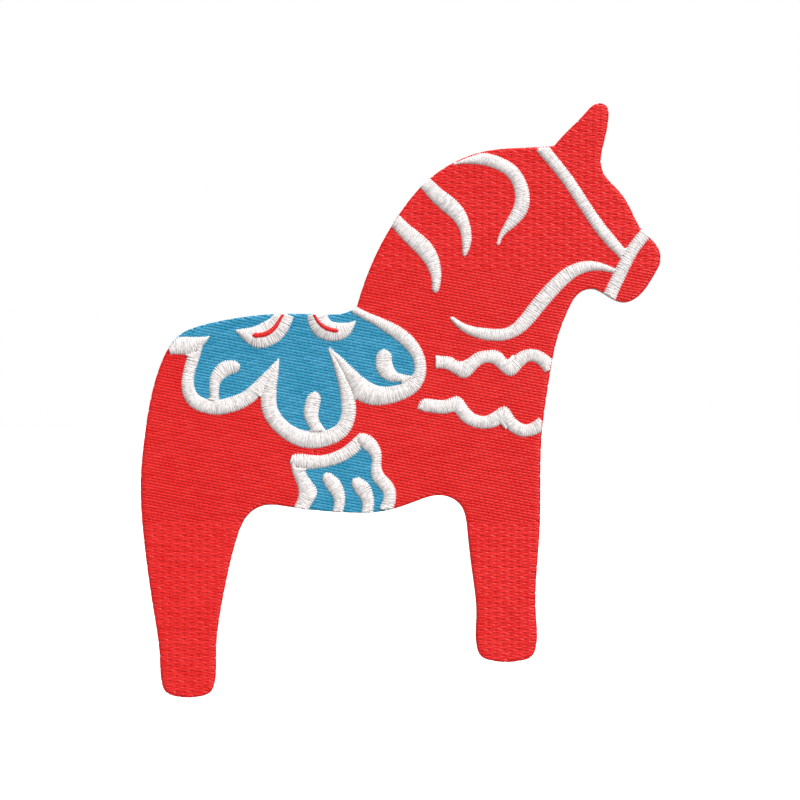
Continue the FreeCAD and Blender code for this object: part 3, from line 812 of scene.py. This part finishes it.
def reachUnder(neighbours, place, across, end):
    # how far past the column's end, measured along the crossing line, a neighbour covers it
    direction = 1 if end > 0 else -1
    for edges in neighbours:
        for low, high in spansAlong(edges, place, across):
            if low - satin["beside"] < end < high + satin["beside"]:
                room = high - end if direction > 0 else end - low
                return direction * min(satin["under"], max(0.0, room - satin["hidden"]))
    return 0.0


def crossings(node):
    # each place on the guide line with its crossing line and the stretch of it on the column
    edges = faceEdges(node)
    neighbours = [faceEdges(name) for name in tuckedUnder.get(node, [])]
    found = []
    places, directions = guideLine(guides[node])
    for place, direction in zip(places, directions):
        across = np.array([-direction[1], direction[0]])
        crossing = crossingOf(edges, place, across)
        if crossing is not None:
            low, high = crossing
            low += reachUnder(neighbours, place, across, low)
            high += reachUnder(neighbours, place, across, high)
            crossing = (low, high)
        found.append((place, direction, crossing))
    on = [number for number, (place, direction, crossing) in enumerate(found) if crossing is not None]
    spare = round(satin["beyond"] / satin["fineStep"])
    for number, (place, direction, crossing) in enumerate(found):
        nearest = min(on, key=lambda other: abs(other - number))
        if crossing is None and abs(nearest - number) <= spare and liesOn(neighbours, place):
            crossing = found[nearest][2]
        if crossing is not None:
            yield place, direction, crossing


def liesOn(pieces, place):
    for edges in pieces:
        for low, high in spansAlong(edges, place, (1.0, 0.0)):
            if low < 0 < high:
                return True
    return False


def zigzag(node, sunk, crest, chance):
    strands = []
    lastLeft = lastRight = None
    for place, direction, (low, high) in crossings(node):
        across = np.array([-direction[1], direction[0]])
        left, right = place + across * low, place + across * high
        if lastLeft is not None:
            moved = max(np.linalg.norm(left - lastLeft), np.linalg.norm(right - lastRight))
            if moved < satin["halfStep"]:
                continue
        lastLeft, lastRight = left, right
        slant = direction * satin["halfStep"] / 2 * (1 if len(strands) % 2 else -1)
        left = left + across * chance.uniform(0, satin["ragged"]) - slant
        right = right - across * chance.uniform(0, satin["ragged"]) + slant
        strands.append(satinStrand(left, right, sunk, crest, chance))
    return strands


def sewSatin(node, colour, sunk):
    chance = random.Random(node)
    crest = levels(node)[1] - satin["thread"]["height"] / 2
    strands = zigzag(node, sunk, crest, chance)
    piece = sew(pieceName(node, "Satin"), strands, satin["thread"], finishes[colour], chance)
    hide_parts(node)
    return len(strands)


clothFace = levels("twill_ground")[1]
sewn = 0
for node in guides:
    if node.startswith("accent"):
        sewn += sewSatin(node, "redThread", levels(node)[0] - satin["intoCrescent"])
    else:
        sewn += sewSatin(node, "whiteThread", clothFace + satin["aboveCloth"])
print("satin strands sewn:", sewn)


# The back: the bobbin thread runs straight from hole to hole, and the top thread loops round it there

backThread = {
    "bobbin": {"width": 0.3 * mm, "height": 0.09 * mm, "sides": 5},
    "loop": {"width": 0.2 * mm, "height": 0.09 * mm, "sides": 5},
    "sag": 0.04 * mm,
    "turnLength": 0.12 * mm,  # a run turns into its needle hole over this length
    "turnSize": 0.9,
    "turnDepth": 0.03 * mm,
    "loopLength": 0.42 * mm,
    "loopSizes": (0.8, 1.2),
    "loopLean": 0.06 * mm,
    "loopTurn": 0.6,  # share of half the loop, where it starts to turn in
    "loopTurnDepth": 0.01 * mm,
    "loopDepth": 0.05 * mm,
    "loopOut": 0.06 * mm,  # the loops lie round the bobbin thread
    "satin": {"width": 0.38 * mm, "height": 0.08 * mm, "sides": 5},
    "satinStep": 0.26 * mm,
    "satinLevel": 0.05 * mm,
    "satinInset": (0.05 * mm, 0.15 * mm),
    "areas": {
        "bobbin_thread_red_area": ("redThread", ["red_fill_head", "red_fill_shoulder",
                                                 "red_fill_forequarter", "red_fill_foreleg",
                                                 "red_fill_rump", "red_fill_haunch", "red_fill_hindleg"]),
        "bobbin_thread_saddle": ("blueThread", ["saddle_fill_upper", "saddle_fill_lower"]),
        "bobbin_thread_girth": ("blueThread", ["girth_fill"]),
    },
}


def backRun(start, end, level, chance):
    # a flat thread between two needle holes
    sag = chance.uniform(-backThread["sag"], backThread["sag"])
    along = (end - start) / np.linalg.norm(end - start)
    middle = (start + end) / 2 + np.array([-along[1], along[0]]) * sag
    turn = along * backThread["turnLength"]
    inside = level + backThread["turnDepth"]
    return [
        (*start, inside, 0.0),
        (*(start + turn), level, backThread["turnSize"]),
        (*middle, level, 1.0),
        (*(end - turn), level, backThread["turnSize"]),
        (*end, inside, 0.0),
    ]


def loopRound(x, z, level, chance):
    reach = backThread["loopLength"] / 2 * chance.uniform(*backThread["loopSizes"])
    lean = chance.uniform(-backThread["loopLean"], backThread["loopLean"])
    turn = reach * backThread["loopTurn"]
    turned, inside = level + backThread["loopTurnDepth"], level + backThread["loopDepth"]
    return [
        (x - lean, z - reach, inside, 0.0),
        (x - lean / 2, z - turn, turned, backThread["turnSize"]),
        (x, z, level, 1.0),
        (x + lean / 2, z + turn, turned, backThread["turnSize"]),
        (x + lean, z + reach, inside, 0.0),
    ]


def sewBack(node, colour, fillNodes):
    chance = random.Random(node)
    deep = levels(node)[1] - backThread["bobbin"]["height"] / 2
    runs, loops = [], []
    for fillNode in fillNodes:
        for row, holes, toes in rowsOver(fillNode, fillPieces[fillNode][1]):
            for start, end in zip(holes, holes[1:]):
                ends = np.array([(start, rowHeight(row)), (end, rowHeight(row))])
                runs.append(backRun(*ends, deep, chance))
            for x in holes:
                loops.append(loopRound(x, rowHeight(row), deep - backThread["loopOut"], chance))
    piece = sew(pieceName(node, "Runs"), runs, backThread["bobbin"], finishes["bobbinThread"], chance)
    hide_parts(node)
    piece = sew(pieceName(node, "Loops"), loops, backThread["loop"], finishes[colour], chance)


def sewUndersides():
    # the satin columns show on the back as flat zigzags
    chance = random.Random("undersides")
    runs = []
    for node in guides:
        if node.startswith("accent"):
            continue
        lastPlace = None
        for place, direction, (low, high) in crossings(node):
            if lastPlace is None or np.linalg.norm(place - lastPlace) > backThread["satinStep"]:
                lastPlace = place
                across = np.array([-direction[1], direction[0]])
                inset = chance.uniform(*backThread["satinInset"])
                slant = direction * backThread["satinStep"] / 2 * (1 if len(runs) % 2 else -1)
                ends = place + across * (low + inset) - slant, place + across * (high - inset) + slant
                runs.append(backRun(*ends, backThread["satinLevel"], chance))
    piece = sew("satinUndersides", runs, backThread["satin"], finishes["bobbinThread"], chance)


for node, (colour, fillNodes) in backThread["areas"].items():
    sewBack(node, colour, fillNodes)
sewUndersides()
print("back sewn")


# Cloth: the twill that is stitched on and the stabiliser behind it, cut out close to the stitching

sheets = {
    "twill_ground": {"piece": "twillGround", "finish": "whiteTwill", "slot": "twill_cloth",
                     "ragged": 0.05 * mm, "rests": "stabiliserSheet"},
    "cutaway_stabiliser": {"piece": "stabiliserSheet", "finish": "pressedFibre", "slot": "stabiliser",
                           "ragged": 0.07 * mm, "rests": "twillGround"},
}
longestCut = 0.5 * mm  # of the scissors, before the edge turns a little


def cutSheet(node, looks):
    chance = random.Random(node)
    back, face = levels(node)
    shape = stitchedSide(node)
    bmesh.ops.dissolve_faces(shape, faces=shape.faces)
    flatArea = sum(side.calc_area() for side in shape.faces)
    cuts = [edge for edge in shape.edges if edge.calc_length() > longestCut]
    bmesh.ops.subdivide_edges(shape, edges=cuts, cuts=1)
    for vert in shape.verts:
        inward = -vert.co.normalized()
        vert.co += inward * chance.uniform(0, looks["ragged"])
    grown = bmesh.ops.extrude_face_region(shape, geom=shape.faces[:])
    moved = [item for item in grown["geom"] if isinstance(item, bmesh.types.BMVert)]
    bmesh.ops.translate(shape, verts=moved, vec=(0, face - back, 0))
    bmesh.ops.triangulate(shape, faces=[side for side in shape.faces if len(side.verts) > 4])
    bmesh.ops.recalc_face_normals(shape, faces=shape.faces)
    mesh = bpy.data.meshes.new(looks["piece"])
    shape.to_mesh(mesh)
    shape.free()
    mesh.materials.append(finishes[looks["finish"]])
    piece = bpy.data.objects.new(looks["piece"], mesh)
    bpy.context.scene.collection.objects.link(piece)
    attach(piece, "root")
    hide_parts(node)
    low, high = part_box(node)
    flat = (high.x - low.x, high.z - low.z)
    print(node, "flat", [round(side / mm, 2) for side in flat], "area", round(flatArea / mm ** 2, 1))


for node, looks in sheets.items():
    cutSheet(node, looks)
print("cloth cut")


# Floor, light and camera

studio = {
    "floorDrop": 0.018,
    "floorReach": 6.0,
    "floorColour": (0.92, 0.92, 0.92),
    "floorRoughness": 0.9,
    "sky": 0.52,
    "suns": {
        "keyLight": {"strength": 3.1, "towards": (0.50, -0.62, 0.66), "softness": 20},
        "topLight": {"strength": 2.05, "towards": (0, 0.12, 1), "softness": 40},
        "backLight": {"strength": 1.6, "towards": (-0.5, 0.9, 0.5), "softness": 30},
    },
    "lens": 100.0,
    "sensor": 36.0,
    "nearest": 0.01,
    "fieldWidth": 0.154,
}


def makeFloor():
    level = cadBox[0].z - studio["floorDrop"]
    shape = bmesh.new()
    bmesh.ops.create_grid(shape, x_segments=4, y_segments=4, size=studio["floorReach"])
    bmesh.ops.translate(shape, verts=shape.verts, vec=(0, 0, level))
    mesh = bpy.data.meshes.new("floor")
    shape.to_mesh(mesh)
    shape.free()
    finish, wire = newFinish("paleFloor")
    shader = wire.node("ShaderNodeBsdfPrincipled", {}, {"Base Color": opaque(studio["floorColour"]),
                                                        "Roughness": studio["floorRoughness"]})
    closeFinish(finish.node_tree, shader)
    mesh.materials.append(finish)
    floor = bpy.data.objects.new("floor", mesh)
    floor.visible_diffuse = False
    floor.visible_glossy = False
    bpy.context.scene.collection.objects.link(floor)


def makeSky():
    world = bpy.data.worlds.new("studio")
    world.use_nodes = True
    tree = world.node_tree
    tree.nodes.clear()
    wire = Wire(tree)
    seen = wire.node("ShaderNodeLightPath", {}, {}, "Is Camera Ray")
    strength = seen * (1.0 - studio["sky"]) + studio["sky"]
    sky = wire.node("ShaderNodeBackground", {}, {"Color": (1, 1, 1, 1), "Strength": strength})
    out = tree.nodes.new("ShaderNodeOutputWorld")
    tree.links.new(sky.socket, out.inputs["Surface"])
    bpy.context.scene.world = world


def makeSun(name, strength, towards, softness):
    light = bpy.data.lights.new(name, "SUN")
    light.energy = strength
    light.angle = math.radians(softness)
    sun = bpy.data.objects.new(name, light)
    sun.rotation_mode = "QUATERNION"
    sun.rotation_quaternion = Vector(towards).to_track_quat("Z", "Y")
    bpy.context.scene.collection.objects.link(sun)


def makeCamera():
    view = bpy.data.cameras.new("camera")
    view.lens = studio["lens"]
    view.sensor_width = studio["sensor"]
    view.clip_start = studio["nearest"]
    camera = bpy.data.objects.new("camera", view)
    distance = studio["fieldWidth"] * studio["lens"] / studio["sensor"] + levels("red_fill_head")[1]
    camera.location = (0, -distance, 0)
    camera.rotation_euler = (math.pi / 2, 0, 0)
    bpy.context.scene.collection.objects.link(camera)
    bpy.context.scene.camera = camera


makeFloor()
makeSky()
for name, sun in studio["suns"].items():
    makeSun(name, **sun)
makeCamera()
bpy.context.scene.view_settings.view_transform = "Standard"

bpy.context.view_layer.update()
